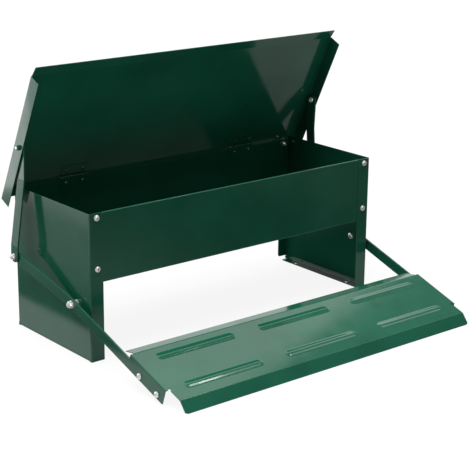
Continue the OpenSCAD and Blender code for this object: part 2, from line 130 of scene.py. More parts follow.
BAR_T, BAR_EDGE, BAR_BEND_R = 3, 0.6, 14
ARM_W, LINK_W = 18, 20
ARM_X = TREADLE_HALF - SHEET_T - BAR_T
ARM_REAR_X, ARM_REAR, ARM_END = HALF_W + 22, 148, PLATE_START + 80
ARM_FLARE = (15, 132)
LINK_TOP = pivot_mm("right_link_pivot")
nut_low, nut_high = box_mm("right_link_nut")
LINK_LOW = (nut_low + nut_high) / 2
LINK_LEN = math.hypot(LINK_TOP.y - LINK_LOW.y, LINK_TOP.z - LINK_LOW.z)
LINK_LEAN = math.atan2(LINK_LOW.y - LINK_TOP.y, LINK_TOP.z - LINK_LOW.z)
GAP = 0.3
LID_SPACER = 1.4
LINK_LOW_X = ARM_REAR_X + BAR_T + GAP
LINK_TOP_X = LID_HALF - SHEET_T - LID_SPACER - GAP - BAR_T
LINK_FLARE = (18, 130)

# Fasteners: shank radius, head radius, head height, thread pitch
M5 = (2.5, 4.8, 3.3, 0.8)
M6 = (3.0, 6.0, 3.8, 1.0)
# Nuts: bore radius, width across flats, height
M5_NUT = (2.55, 8, 4.6)
M6_NUT = (3.05, 10, 6)
# Washers: bore radius, outer radius
M5_WASHER = (2.7, 5)
M6_WASHER = (3.2, 6.2)
WASHER_H, WASHER_EDGE = 1.2, 0.2
SHANK_TAIL = 1
HOLE_GAP, BORE_GAP = 0.2, 0.05
M5_HOLE, M5_BORE = M5[0] + HOLE_GAP, M5[0] + BORE_GAP
M6_HOLE, M6_BORE = M6[0] + HOLE_GAP, M6[0] + BORE_GAP
# A thread's depth in pitches, its length on a screw in pitches, and rings in each pitch
THREAD_DEPTH, THREAD_TURNS, THREAD_RINGS = 0.6, 5, 6

# How finely shapes are made: loops round a bead as shares of its width, steps round an edge
BEAD_LOOPS = (1, 0.86, 0.72, 0.58, 0.44, 0.3, 0.15)
EDGE_STEPS = 2
# Edges sharper than these angles, in degrees, look sharp: on turned pieces and on a sheet's rim
SMOOTH, RIM_SMOOTH = 38, 35
# A small step, to find which way a face runs from a point
NUDGE = 0.05

# ---------------------------- shapes


class Shape:
    """Points in millimetres, faces with a material number each, and maybe corner normals."""

    def __init__(self, points=(), faces=(), paint=0, normals=None):
        self.points = [Vector(p) for p in points]
        self.faces = [tuple(f) for f in faces]
        self.paints = [paint] * len(self.faces)
        self.normals = normals or []

    def add(self, other, place=None):
        """Adds another shape, turned over where its place mirrors it."""
        place = place or Matrix.Identity(4)
        turn = place.to_3x3()
        order = -1 if turn.determinant() < 0 else 1
        base = len(self.points)
        self.points += [place @ p for p in other.points]
        self.faces += [tuple(base + i for i in face)[::order] for face in other.faces]
        self.normals += [[turn @ n for n in corners][::order] for corners in other.normals]
        self.paints += other.paints
        return self


def shifted(x, y, z):
    return Matrix.Translation((x, y, z))


def turned(degrees, axis):
    return Matrix.Rotation(math.radians(degrees), 4, axis)


def axes(u, v, origin):
    """A place whose first two axes are u and v."""
    u, v = Vector(u), Vector(v)
    return Matrix.Translation(origin) @ Matrix((u, v, u.cross(v))).transposed().to_4x4()


IN_LID = shifted(0, HINGE.y, HINGE.z) @ Matrix.Rotation(-LID_OPEN, 4, "X")
IN_TREADLE = shifted(0, PIVOT.y, PIVOT.z) @ Matrix.Rotation(SLOPE, 4, "X")
IN_LINK = shifted(0, LINK_LOW.y, LINK_LOW.z) @ Matrix.Rotation(LINK_LEAN, 4, "X")
LEFT, RIGHT = Matrix.Diagonal((-1, 1, 1, 1)), Matrix.Identity(4)
SIDES = (LEFT, RIGHT)


class Path:
    """A folded sheet's outer face seen along its folds: straight lengths and (degrees, radius) bends.

    A positive bend turns away from the outer face. at(s) gives the distance along the flat, the
    height over it and the direction, at the length s along the face.
    """

    ARC_STEP = math.radians(10)
    SLACK = 1e-9

    def __init__(self, *steps):
        self.spans = []
        self.rows = []
        a = b = heading = self.end = 0.0
        for step in steps:
            bend = isinstance(step, tuple)
            turn = math.radians(step[0]) if bend else 0.0
            radius = step[1] if bend else 0.0
            length = abs(turn) * radius if bend else step
            self.spans.append((self.end, self.end + length, a, b, heading, turn, radius))
            if bend:
                count = max(2, round(abs(turn) / self.ARC_STEP))
                self.rows += [self.end + length * i / count for i in range(count + 1)]
            self.end += length
            a, b, heading = self.at(self.end)

    def at(self, s):
        start, stop, a, b, heading, turn, radius = next(
            (p for p in self.spans if s <= p[1] + self.SLACK), self.spans[-1])
        run = s - start
        if not turn:
            return a + run * math.cos(heading), b - run * math.sin(heading), heading
        side = math.copysign(radius, turn)
        now = heading + turn * run / (stop - start)
        return (a + side * (math.sin(now) - math.sin(heading)),
                b + side * (math.cos(now) - math.cos(heading)), now)


def folded(first, *folds):
    """A Path from sizes measured to the sharp corners: folds are (degrees, radius, length)."""
    steps, setback, length = [], 0.0, first
    for degrees, radius, following in folds:
        reach = radius * math.tan(math.radians(abs(degrees)) / 2)
        steps += [length - setback - reach, (degrees, radius)]
        setback, length = reach, following
    path = Path(*steps, length - setback)
    path.setback = setback
    path.last = path.end - (length - setback)
    return path


def on_last(path, distance):
    """Length along the path to a point of its last flat, from that flat's sharp corner."""
    return path.last + distance - path.setback


def circle(x, y, r, steps=28):
    turn = 2 * math.pi / steps
    return [(x + r * math.cos(i * turn), y + r * math.sin(i * turn)) for i in range(steps)]


def stadium(x, y, half_length, r, steps=10):
    """A closed outline with two round ends, along x."""
    points = []
    for side, centre in ((1, x + half_length), (-1, x - half_length)):
        for i in range(steps + 1):
            turn = math.pi * (i / steps - 0.5)
            points.append((centre + side * r * math.cos(turn), y + side * r * math.sin(turn)))
    return points


def inside(x, y, outline):
    odd = False
    for (x0, y0), (x1, y1) in zip(outline, outline[1:] + outline[:1]):
        if (y0 > y) != (y1 > y) and x < x0 + (y - y0) / (y1 - y0) * (x1 - x0):
            odd = not odd
    return odd


def outward(start, stop):
    """The unit vector to the right of a line, which is away from an anticlockwise outline."""
    return Vector((stop[1] - start[1], start[0] - stop[0])).normalized()


def mitre(before, after):
    """How far a corner moves when both of its sides move outward by 1, within reason."""
    least = 0.2
    return (before + after) / max(least, 1 + before.dot(after))


def moved_in(outline, distance):
    """An outline whose sides have moved inward."""
    sides = [outward(p, q) for p, q in zip(outline, outline[1:] + outline[:1])]
    return [Vector(p) - mitre(sides[i - 1], sides[i]) * distance for i, p in enumerate(outline)]


def flat_mesh(outline, holes, lines):
    """Triangles that fill an outline around its holes and follow the given lines."""
    points, edges = [], []
    for loop in (outline, *holes):
        base = len(points)
        points += [Vector(p) for p in loop]
        edges += [(base + i, base + (i + 1) % len(loop)) for i in range(len(loop))]
    for start, stop in lines:
        edges.append((len(points), len(points) + 1))
        points += [Vector(start), Vector(stop)]
    tolerance = 1e-4
    made, _, triangles, *_ = delaunay_2d_cdt(points, edges, [], 0, tolerance)
    kept = []
    for t in triangles:
        x = sum(made[i].x for i in t) / 3
        y = sum(made[i].y for i in t) / 3
        if inside(x, y, outline) and not any(inside(x, y, hole) for hole in holes):
            kept.append(t)
    used = {v: n for n, v in enumerate(sorted({i for t in kept for i in t}))}
    return [made[i] for i in used], [tuple(used[i] for i in t) for t in kept]


def folded_face(folds, beads):
    """The outer face's place and normal over any point of a sheet's flat pattern."""
    slack = 1e-3

    def surface(p):
        spot, normal = Vector((p.x, p.y, 0)), Vector((0, 0, 1))
        for axis, side, path, low, high in folds:
            if side * p[axis] > 0 and low - slack <= p[1 - axis] <= high + slack:
                along, height, heading = path.at(side * p[axis])
                spot[axis] = side * along
                spot.z += height
                if heading:
                    normal = Vector((0, 0, math.cos(heading)))
                    normal[axis] = side * math.sin(heading)
        for x, y, half_length, half_w, rise in beads:
            off = Vector((p.x - x - max(-half_length, min(half_length, p.x - x)), p.y - y, 0))
            away = math.pi * off.length / half_w
            if away < math.pi:
                spot.z += rise * (1 + math.cos(away)) / 2
                normal += off.normalized() * rise * math.pi / 2 * math.sin(away) / half_w
        return spot, normal.normalized()

    return surface


def sheet(outline, place, folds=(), holes=(), beads=(), thick=SHEET_T, edge=SHEET_EDGE):
    """A folded sheet with rounded edges. Each fold is (axis, side, path, low, high): it bends the
    flat pattern along the path on that side of the axis, where the other axis is low to high."""
    lines = []
    for axis, side, path, low, high in folds:
        for s in path.rows:
            ends = ((side * s, low), (side * s, high))
            lines.append(ends if axis == 0 else tuple((y, x) for x, y in ends))
    for x, y, half_length, half_w, _ in beads:
        for share in BEAD_LOOPS:
            loop = stadium(x, y, half_length, half_w * share)
            lines += zip(loop, loop[1:] + loop[:1])
        lines.append(((x - half_length, y), (x + half_length, y)))
    flat, triangles = flat_mesh(moved_in(outline, edge),
                                [circle(x, y, r + edge) for x, y, r in holes], lines)
    surface = folded_face(folds, beads)
    outer = [surface(p) for p in flat]
    count = len(flat)
    points = [spot for spot, _ in outer] + [spot - normal * thick for spot, normal in outer]
    faces = list(triangles) + [tuple(count + i for i in reversed(t)) for t in triangles]
    normals = [[outer[i][1] for i in t] for t in triangles]
    normals += [[-outer[i][1] for i in reversed(t)] for t in triangles]

    sides = {(t[i - 1], t[i]) for t in triangles for i in range(3)}
    rims = {a: b for a, b in sides if (b, a) not in sides}
    before = {b: outward(flat[a], flat[b]) for a, b in rims.items()}
    after = {a: outward(flat[a], flat[b]) for a, b in rims.items()}
    turns = [math.pi / 2 * i / EDGE_STEPS for i in range(EDGE_STEPS + 1)]
    rings = [(math.sin(t), 1 - math.cos(t), math.cos(t)) for t in turns]
    rings = ([(out * edge, down * edge, lean) for out, down, lean in rings]
             + [(out * edge, thick - down * edge, -lean) for out, down, lean in rings[::-1]])
    number = {}
    for a in rims:
        push = mitre(before[a], after[a])
        for k, (out, down, _) in enumerate(rings[1:-1], 1):
            number[a, k] = len(points)
            spot, normal = surface(flat[a] + push * out)
            points.append(spot - normal * down)
        number[a, 0], number[a, len(rings) - 1] = a, count + a

    def corner(a, way, lean):
        near, normal = surface(flat[a])
        across = (surface(flat[a] + way * NUDGE)[0] - near).normalized()
        return normal * lean + across * math.sqrt(max(0, 1 - lean * lean))

    for a, b in rims.items():
        ways = []
        for end in (a, b):
            smooth = before[end].dot(after[end]) > math.cos(math.radians(RIM_SMOOTH))
            ways.append((before[end] + after[end]).normalized() if smooth else after[a])
        for k in range(len(rings) - 1):
            faces.append((number[b, k], number[a, k], number[a, k + 1], number[b, k + 1]))
            normals.append([corner(b, ways[1], rings[k][2]), corner(a, ways[0], rings[k][2]),
                            corner(a, ways[0], rings[k + 1][2]),
                            corner(b, ways[1], rings[k + 1][2])])
    return Shape().add(Shape(points, faces, normals=normals), place)


def mirrored_outline(right_half):
    """Closes an outline from its right half, which runs anticlockwise from bottom to top."""
    return right_half + [(-x, y) for x, y in reversed(right_half)]


def lathe(profile, steps=36, closed=False, reach=None, paint=0):
    """Turns a profile of (radius, z) points round Z. reach(r, z, turn) may change a radius."""
    reach = reach or (lambda r, z, turn: r)
    points, rings = [], []
    for r, z in profile:
        if r == 0:
            rings.append([len(points)] * steps)
            points.append((0, 0, z))
            continue
        rings.append(range(len(points), len(points) + steps))
        for i in range(steps):
            turn = 2 * math.pi * i / steps
            out = reach(r, z, turn)
            points.append((out * math.cos(turn), out * math.sin(turn), z))
    faces = []
    pairs = list(zip(rings, rings[1:])) + ([(rings[-1], rings[0])] if closed else [])
    for low, high in pairs:
        for i in range(steps):
            j = (i + 1) % steps
            face = [low[i], low[j], high[j], high[i]]
            face = [p for n, p in enumerate(face) if p != face[n - 1]]
            if len(face) > 2:
                faces.append(face)
    return Shape(points, faces, paint)


def cut(shape, tool):
    """The first shape with the second taken away."""
    objects = []
    for part in (shape, tool):
        mesh = bpy.data.meshes.new("cut")
        mesh.from_pydata(part.points, [], part.faces)
        objects.append(bpy.data.objects.new("cut", mesh))
        bpy.context.scene.collection.objects.link(objects[-1])
    modifier = objects[0].modifiers.new("cut", "BOOLEAN")
    modifier.operation, modifier.solver, modifier.object = "DIFFERENCE", "EXACT", objects[1]
    result = objects[0].evaluated_get(bpy.context.evaluated_depsgraph_get()).to_mesh()
    made = Shape([v.co for v in result.vertices], [p.vertices[:] for p in result.polygons])
    for used in objects:
        bpy.data.meshes.remove(used.data)
    return made


# ---------------------------- fasteners


def groove(pitch, z, turn):
    """How deep a thread cuts into its shank."""
    phase = (z / pitch - turn / (2 * math.pi)) % 1
    return THREAD_DEPTH * pitch * min(phase, 1 - phase)


def cross_recess(head_r, top):
    """The cutters of a cross recess: two tapered blades and a cone, in shares of the head."""
    tools = []
    half_w, wide, deep = head_r * 0.11, head_r * 0.56, head_r * 0.52
    foot_share, mouth_share = 0.35, 1.15
    for turn in (0, 90):
        corners = [(x * wide * share, y * half_w, z)
                   for z, share in ((top - deep, foot_share), (top + 1, mouth_share))
                   for x, y in ((-1, -1), (1, -1), (1, 1), (-1, 1))]
        sides = [(0, 3, 2, 1), (4, 5, 6, 7), (0, 1, 5, 4), (1, 2, 6, 5), (2, 3, 7, 6), (3, 0, 4, 7)]
        tools.append(Shape().add(Shape(corners, sides), turned(turn, "Z")))
    cone = lathe([(0, top - deep * 1.15), (head_r * 0.3, top + 0.5), (0, top + 0.5)], 16)
    return [*tools, cone]


def pan_screw(size, length):
    """A pan-head screw with a cross recess and a thread on its end. The seat is at z = 0."""
    shank_r, head_r, head_h, pitch = size
    threaded = min(length - 0.5, THREAD_TURNS * pitch)
    tip_r, tip_h = shank_r * 0.78, 0.3
    rings = [(0, -length), (tip_r, -length)]
    count = round(threaded / pitch * THREAD_RINGS)
    rings += [(shank_r, -length + tip_h + (threaded - tip_h) * i / count)
              for i in range(count + 1)]
    # Shares of the head: its rim's and its dome's height, and its flat top's radius
    rim_share, dome_share, flat_share = 0.36, 0.62, 0.42
    dome_steps = 9
    rings += [(shank_r, 0), (head_r * 0.95, 0), (head_r, 0.25), (head_r, head_h * rim_share)]
    for i in range(1, dome_steps):
        turn = math.pi / 2 * i / dome_steps
        rings.append((head_r * (flat_share + (1 - flat_share) * math.cos(turn)),
                      head_h * (rim_share + dome_share * math.sin(turn))))
    rings.append((0, head_h))

    def thread(r, z, turn):
        if r != shank_r or z > threaded - length:
            return r
        return r - groove(pitch, z, turn)

    screw = lathe(rings, 32, reach=thread)
    for tool in cross_recess(head_r, head_h):
        screw = cut(screw, tool)
    return screw


def lock_nut(size):
    """A hexagon nut with chamfered corners and a collar that holds a nylon ring."""
    bore, across, height = size
    flat = across / 2
    corner = flat / math.cos(math.pi / 6)
    collar, seat = height * 0.72, 0.3

    def hexagon(r, z, turn):
        face = (turn + math.pi / 6) % (math.pi / 3) - math.pi / 6
        return min(r, flat / math.cos(face)) if r > flat * 0.9 else r

    nut = lathe([(bore, 0), (flat * 0.95, 0), (corner, height * 0.12), (corner, collar * 0.86),
                 (flat * 0.97, collar), (flat * 0.88, collar + 0.1), (flat * 0.88, height * 0.94),
                 (flat * 0.82, height), (flat * 0.68, height), (flat * 0.66, collar + seat),
                 (bore, collar + seat)], 48, True, hexagon)
    ring = lathe([(bore, collar + 0.35), (flat * 0.655, collar + 0.35),
                  (flat * 0.655, height - 0.25), (bore + 0.4, height - 0.1), (bore, height - 0.5)],
                 36, True, paint=1)
    return nut.add(ring)


def washer(size):
    bore, outer = size
    rim = outer - WASHER_EDGE
    return lathe([(bore, 0), (rim, 0), (outer, WASHER_EDGE), (outer, WASHER_H - WASHER_EDGE),
                  (rim, WASHER_H), (bore, WASHER_H)], 40, True)


def blind_rivet(grip):
    """A blind rivet: a domed head with the stub of its mandrel, and a bulb behind."""
    head_r, shank_r, bulb_r = 3.9, 2, 3
    rim_h, dome_h = 0.25, 1.15
    dome = [(head_r * math.cos(t), rim_h + dome_h * math.sin(t))
            for t in (math.pi / 2 * i / 8 for i in range(7))]
    bulb = [(0, -grip - 1.4), (2.2, -grip - 1.3), (bulb_r, -grip - 0.7), (bulb_r, -grip)]
    mandrel = [(1.1, 1.36), (0.95, 0.75), (0, 0.85)]
    return lathe([*bulb, (shank_r, -grip), (shank_r, 0), (head_r, 0), *dome, *mandrel], 32)


def stud(length):
    """The threaded end of a bolt, from z = 0 up. Its first part is plain."""
    shank_r, _, _, pitch = M5
    plain = length * 0.4
    count = round(length / pitch * THREAD_RINGS)
    rings = [(0, 0), (shank_r, 0)]
    rings += [(shank_r, length * i / count) for i in range(1, count)]

    def thread(r, z, turn):
        return r - groove(pitch, z, turn) if z > plain else r

    return lathe([*rings, (shank_r * 0.8, length), (0, length)], 32, reach=thread)


# ---------------------------- materials


def nodes_of(name):
    material = bpy.data.materials.new(name)
    material.use_nodes = True
    tree = material.node_tree
    shader = tree.nodes["Principled BSDF"]
    return material, tree, shader


def noise(tree, scale, detail, stretch=(1, 1, 1)):
    """Noise in the object's own space, at a scale in features per metre."""
    place = tree.nodes.new("ShaderNodeTexCoord")
    mapping = tree.nodes.new("ShaderNodeMapping")
    mapping.inputs["Scale"].default_value = stretch
    texture = tree.nodes.new("ShaderNodeTexNoise")
    texture.inputs["Scale"].default_value = scale
    texture.inputs["Detail"].default_value = detail
    tree.links.new(place.outputs["Object"], mapping.inputs["Vector"])
    tree.links.new(mapping.outputs["Vector"], texture.inputs["Vector"])
    return texture.outputs["Fac"]


def ranged(tree, value, span, result=(0, 1)):
    """Maps the two ends of a span of values to two results."""
    node = tree.nodes.new("ShaderNodeMapRange")
    sockets = ("From Min", "From Max", "To Min", "To Max")
    for socket, number in zip(sockets, (*span, *result)):
        node.inputs[socket].default_value = number
    tree.links.new(value, node.inputs["Value"])
    return node.outputs["Result"]


def blended(tree, factor, first, second):
    """Mixes two colours, or a colour socket and a colour."""
    node = tree.nodes.new("ShaderNodeMix")
    node.data_type = "RGBA"
    tree.links.new(factor, node.inputs["Factor"])
    for socket, colour in ((node.inputs[6], first), (node.inputs[7], second)):
        if isinstance(colour, tuple):
            socket.default_value = (*colour, 1)
        else:
            tree.links.new(colour, socket)
    return node.outputs[2]


def combined(tree, operation, values):
    """Math nodes that combine the values one after another."""
    result = values[0]
    for value in values[1:]:
        node = tree.nodes.new("ShaderNodeMath")
        node.operation = operation
        tree.links.new(result, node.inputs[0])
        tree.links.new(value, node.inputs[1])
        result = node.outputs[0]
    return result


def multiplied(tree, *values):
    return combined(tree, "MULTIPLY", values)


def brightest(tree, *values):
    return combined(tree, "MAXIMUM", values)


def edge_mask(tree, radius):
    """From 0 on flats to 1 on sharp edges, from how far a rounded normal leans."""
    rounded = tree.nodes.new("ShaderNodeBevel")
    rounded.samples = 4
    rounded.inputs["Radius"].default_value = radius
    plain = tree.nodes.new("ShaderNodeNewGeometry")
    dot = tree.nodes.new("ShaderNodeVectorMath")
    dot.operation = "DOT_PRODUCT"
    tree.links.new(rounded.outputs["Normal"], dot.inputs[0])
    tree.links.new(plain.outputs["Normal"], dot.inputs[1])
    flat, sharp = 0.995, 0.86
    return ranged(tree, dot.outputs["Value"], (flat, sharp))


def bumps(tree, shader, *layers):
    """Stacks (height, distance) layers into the shader's normal."""
    normal = None
    for height, distance in layers:
        node = tree.nodes.new("ShaderNodeBump")
        node.inputs["Distance"].default_value = distance
        tree.links.new(height, node.inputs["Height"])
        if normal:
            tree.links.new(normal, node.inputs["Normal"])
        normal = node.outputs["Normal"]
    tree.links.new(normal, shader.inputs["Normal"])


# Colours are linear. A bump's distance and a bevel's radius are in metres.
DEEP_GREEN, LIGHT_GREEN = (0.0034, 0.045, 0.025), (0.0050, 0.057, 0.0325)
SPECKLE_GREEN, WORN_GREEN = (0.008, 0.085, 0.055), (0.05, 0.17, 0.12)
ZINC_BLUE, ZINC_YELLOW = (0.84, 0.85, 0.86), (0.74, 0.73, 0.68)
NYLON_LIGHT, NYLON_DARK = (0.72, 0.73, 0.70), (0.55, 0.57, 0.56)
WORN_EDGE = 0.0009
SHEET_WAVE, ORANGE_PEEL, FINE_GRAIN = 0.0006, 0.000012, 0.00001


def powder_coat():
    """Glossy green powder coat: soft waves of the sheet, orange peel, thin paint on edges."""
    material, tree, shader = nodes_of(GREEN_SLOT)
    tone = ranged(tree, noise(tree, scale=9, detail=4), (0.35, 0.65))
    colour = blended(tree, tone, DEEP_GREEN, LIGHT_GREEN)
    speckle = ranged(tree, noise(tree, scale=900, detail=2), (0.55, 0.75), (0, 0.35))
    colour = blended(tree, speckle, colour, SPECKLE_GREEN)
    patchy = ranged(tree, noise(tree, scale=140, detail=3), (0.35, 0.62), (0.15, 0.6))
    wear = multiplied(tree, edge_mask(tree, WORN_EDGE), patchy)
    colour = blended(tree, wear, colour, WORN_GREEN)
    tree.links.new(colour, shader.inputs["Base Color"])
    smudges = ranged(tree, noise(tree, scale=26, detail=5), (0.3, 0.7), (0.07, 0.15))
    tree.links.new(smudges, shader.inputs["Roughness"])
    shader.inputs["IOR"].default_value = 1.5
    bumps(tree, shader, (noise(tree, scale=7, detail=1), SHEET_WAVE),
          (noise(tree, scale=420, detail=2), ORANGE_PEEL))
    return material


def zinc():
    """Bright zinc plating: faint yellow passivation, fine scratches, duller patches."""
    material, tree, shader = nodes_of(ZINC_SLOT)
    tone = ranged(tree, noise(tree, scale=160, detail=3), (0.4, 0.68))
    tree.links.new(blended(tree, tone, ZINC_BLUE, ZINC_YELLOW), shader.inputs["Base Color"])
    dullness = ranged(tree, noise(tree, scale=500, detail=3), (0.3, 0.7), (0.18, 0.38))
    tree.links.new(dullness, shader.inputs["Roughness"])
    shader.inputs["Metallic"].default_value = 0.75
    scratches = noise(tree, scale=1500, detail=2, stretch=(1, 6, 1))
    bumps(tree, shader, (scratches, FINE_GRAIN))
    return material


def nylon():
    """The off-white nylon ring of a lock nut."""
    material, tree, shader = nodes_of("nylon_insert")
    tone = noise(tree, scale=300, detail=3)
    tree.links.new(blended(tree, tone, NYLON_LIGHT, NYLON_DARK), shader.inputs["Base Color"])
    dullness = ranged(tree, noise(tree, scale=700, detail=2), (0.3, 0.7), (0.35, 0.5))
    tree.links.new(dullness, shader.inputs["Roughness"])
    bumps(tree, shader, (noise(tree, scale=900, detail=2), FINE_GRAIN))
    return material


GREEN = powder_coat()
ZINC = zinc()
NYLON = nylon()

# ---------------------------- pieces


def piece(node, shape, body, slot=GREEN_SLOT):
    """Makes the object that stands for a CAD node."""
    mesh = bpy.data.meshes.new(node)
    mesh.from_pydata([p * MM for p in shape.points], [], shape.faces)
    mesh.materials.append(GREEN if slot == GREEN_SLOT else ZINC)
    if any(shape.paints):
        mesh.materials.append(NYLON)
        mesh.polygons.foreach_set("material_index", shape.paints)
    mesh.shade_smooth()
    if shape.normals:
        mesh.normals_split_custom_set([n for corners in shape.normals for n in corners])
    else:
        mesh.set_sharp_from_angle(angle=math.radians(SMOOTH))
    made = bpy.data.objects.new(node + "_look", mesh)
    bpy.context.scene.collection.objects.link(made)
    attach(made, body)
    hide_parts(node)


def repeated(shape, places):
    """One shape at each of the places."""
    whole = Shape()
    for place in places:
        whole.add(shape, place)
    return whole


def fasteners(node, shape, places, body, slot=ZINC_SLOT):
    piece(node, repeated(shape, places), body, slot)


def on_both_sides(places):
    """Places on the right, together with their mirror images on the left."""
    return [side @ place for side in SIDES for place in places]


# ---------------------------- body

FACING_OUT_X = turned(90, "Y")
FACING_FRONT = turned(90, "X")
FACING_BACK = turned(-90, "X")
REVERSED = turned(180, "X")

front_screws = on_both_sides([shifted(SCREW_X, -HALF_D, z) @ FACING_FRONT
                              for z in FRONT_SCREWS_Z])
back_screws = on_both_sides([shifted(BACK_SCREW_X, HALF_D, z) @ FACING_BACK
                             for z in BACK_SCREWS_Z])
floor_rivets = [shifted(x, y, TROUGH_Z + 2 * SHEET_T)
                for x in FLOOR_RIVETS_X for y in FLOOR_RIVETS_Y]
leaf_rivets = on_both_sides([shifted(LEAF_X + x, LEAF_FACE, HINGE.z - RIVET_DROP) @ FACING_FRONT
                             for x in LEAF_RIVETS_X])


def side_panel():
    """Wall with a front, a rear and a foot flange, and relief cuts where the folds meet."""
    mid = BODY_H / 2
    cut_in = BEND_R + SLIT_PAST
    front = folded(HALF_D, (90, BEND_R, FRONT_FLANGE))
    rear = folded(HALF_D, (90, BEND_R, REAR_FLANGE))
    foot = folded(mid, (90, BEND_R, FOOT_FLANGE))
    end = HALF_D - NOTCH
    rear_low, rear_high = NOTCH - mid, BACK_TOP - mid
    outline = [
        (-front.end, -mid), (-end - SLIT, -mid), (-end - SLIT, cut_in - mid),
        (-end, cut_in - mid), (-end, CORNER_CUT - foot.end), (CORNER_CUT - end, -foot.end),
        (end - CORNER_CUT, -foot.end), (end, CORNER_CUT - foot.end), (end, cut_in - mid),
        (end + SLIT, cut_in - mid), (end + SLIT, -mid), (HALF_D, -mid),
        (HALF_D, rear_low - SLIT), (HALF_D - cut_in, rear_low - SLIT), (HALF_D - cut_in, rear_low),
        (rear.end - CORNER_CUT, rear_low), (rear.end, rear_low + CORNER_CUT),
        (rear.end, rear_high - CORNER_CUT), (rear.end - CORNER_CUT, rear_high),
        (HALF_D - cut_in, rear_high), (HALF_D - cut_in, rear_high + SLIT),
        (HALF_D, rear_high + SLIT), (HALF_D, mid - REAR_CHAMFER), (HALF_D - REAR_CHAMFER, mid),
        (-front.end, mid),
    ]
    foot_row = -on_last(foot, HALF_W - FLOOR_HOLE_X)
    holes = [(PIVOT.y, PIVOT.z - mid, M6_HOLE)]
    holes += [(y, foot_row, FLOOR_HOLE_R) for y in (-FLOOR_HOLE_Y, FLOOR_HOLE_Y)]
    holes += [(-on_last(front, HALF_W - SCREW_X), z - mid, M5_HOLE) for z in FRONT_SCREWS_Z]
    holes += [(on_last(rear, HALF_W - BACK_SCREW_X), z - mid, M5_HOLE) for z in BACK_SCREWS_Z]
    folds = [(0, -1, front, -mid, mid), (0, 1, rear, rear_low, rear_high),
             (1, -1, foot, -end, end)]
    return sheet(outline, axes((0, 1, 0), (0, 0, 1), (HALF_W, 0, mid)), folds, holes)


def trough_wall(flange):
    """The outline of a trough wall's right half, from its floor flange up, without its top."""
    return [(TROUGH_HALF_W - CORNER_CUT, -flange.end), (TROUGH_HALF_W, CORNER_CUT - flange.end)]


def wall_holes(screw_x, screws_z, mid, flange):
    """The screw holes of a trough wall, then the rivet holes of its floor flange."""
    holes = [(side * screw_x, z - mid, M5_HOLE) for side in (-1, 1) for z in screws_z]
    row = -on_last(flange, HALF_D - SHEET_T - RIVET_Y)
    return holes + [(x, row, RIVET_HOLE_R) for x in FLOOR_RIVETS_X]


def front_panel():
    """Front of the trough: a closed hem along its top and a flange under the floor."""
    mid = (TROUGH_Z + FRONT_TOP) / 2
    half = FRONT_TOP - mid
    flange = folded(half, (90, BEND_R, TROUGH_FLANGE))
    hem = Path(half - HEM_R, (180, HEM_R), HEM_H - HEM_R)
    hem_half = TROUGH_HALF_W - FRONT_FLANGE
    cut_in = HEM_R + SLIT_PAST
    outline = mirrored_outline(trough_wall(flange) + [
        (TROUGH_HALF_W, half), (hem_half + SLIT, half), (hem_half + SLIT, half - cut_in),
        (hem_half, half - cut_in), (hem_half, hem.end)])
    holes = wall_holes(SCREW_X, FRONT_SCREWS_Z, mid, flange)
    folds = [(1, -1, flange, -TROUGH_HALF_W, TROUGH_HALF_W), (1, 1, hem, -hem_half, hem_half)]
    place = axes((1, 0, 0), (0, 0, 1), (0, SHEET_T - HALF_D, mid))
    return sheet(outline, place, folds, holes)


def back_panel():
    """Back of the trough, with a floor flange. It carries the hinges."""
    mid = (TROUGH_Z + BACK_TOP) / 2
    half = BACK_TOP - mid
    flange = folded(half, (90, BEND_R, TROUGH_FLANGE))
    outline = mirrored_outline(trough_wall(flange) + [(TROUGH_HALF_W, half)])
    holes = wall_holes(BACK_SCREW_X, BACK_SCREWS_Z, mid, flange)
    holes += [(side * LEAF_X + x, HINGE.z - RIVET_DROP - mid, RIVET_HOLE_R)
              for side in (-1, 1) for x in LEAF_RIVETS_X]
    folds = [(1, -1, flange, -TROUGH_HALF_W, TROUGH_HALF_W)]
    place = axes((-1, 0, 0), (0, 0, 1), (0, HALF_D - SHEET_T, mid))
    return sheet(outline, place, folds, holes)


def trough_floor():
    depth = HALF_D - 2 * SHEET_T
    outline = [(-TROUGH_HALF_W, -depth), (TROUGH_HALF_W, -depth),
               (TROUGH_HALF_W, depth), (-TROUGH_HALF_W, depth)]
    holes = [(x, y, RIVET_HOLE_R) for x in FLOOR_RIVETS_X for y in FLOOR_RIVETS_Y]
    return sheet(outline, shifted(0, 0, TROUGH_Z + 2 * SHEET_T), (), holes)


def hinge_leaf(radius, first, place):
    """A leaf whose top rolls round the pin. first is 0 or 1: the knuckle that it starts with."""
    roll = Path(LEAF_H, (KNUCKLE_TURN, radius))
    pitch = LEAF_W / KNUCKLES
    clear = LEAF_H - radius - KNUCKLE_CLEAR
    half = LEAF_W / 2
    outline = [(-half, 0), (half, 0)]
    for i in reversed(range(KNUCKLES)):
        left, right = i * pitch - half, (i + 1) * pitch - half
        if (i - first) % 2 == 0:
            outline += [(right - KNUCKLE_GAP, clear), (right - KNUCKLE_GAP, roll.end),
                        (left + KNUCKLE_GAP, roll.end), (left + KNUCKLE_GAP, clear)]
        else:
            outline += [(right, clear), (left, clear)]
    holes = [(x, LEAF_H - RIVET_DROP, RIVET_HOLE_R) for x in LEAF_RIVETS_X]
    outline = [p for n, p in enumerate(outline) if p != outline[n - 1]]
    folds = [(1, 1, roll, -half - 1, half + 1)]
    return sheet(outline, place, folds, holes, thick=LEAF_T, edge=LEAF_EDGE)


m5_nut, m6_nut = lock_nut(M5_NUT), lock_nut(M6_NUT)
behind_two = shifted(0, 0, -2 * SHEET_T) @ REVERSED
panel_screw = pan_screw(M5, 2 * SHEET_T + M5_NUT[2] + SHANK_TAIL)

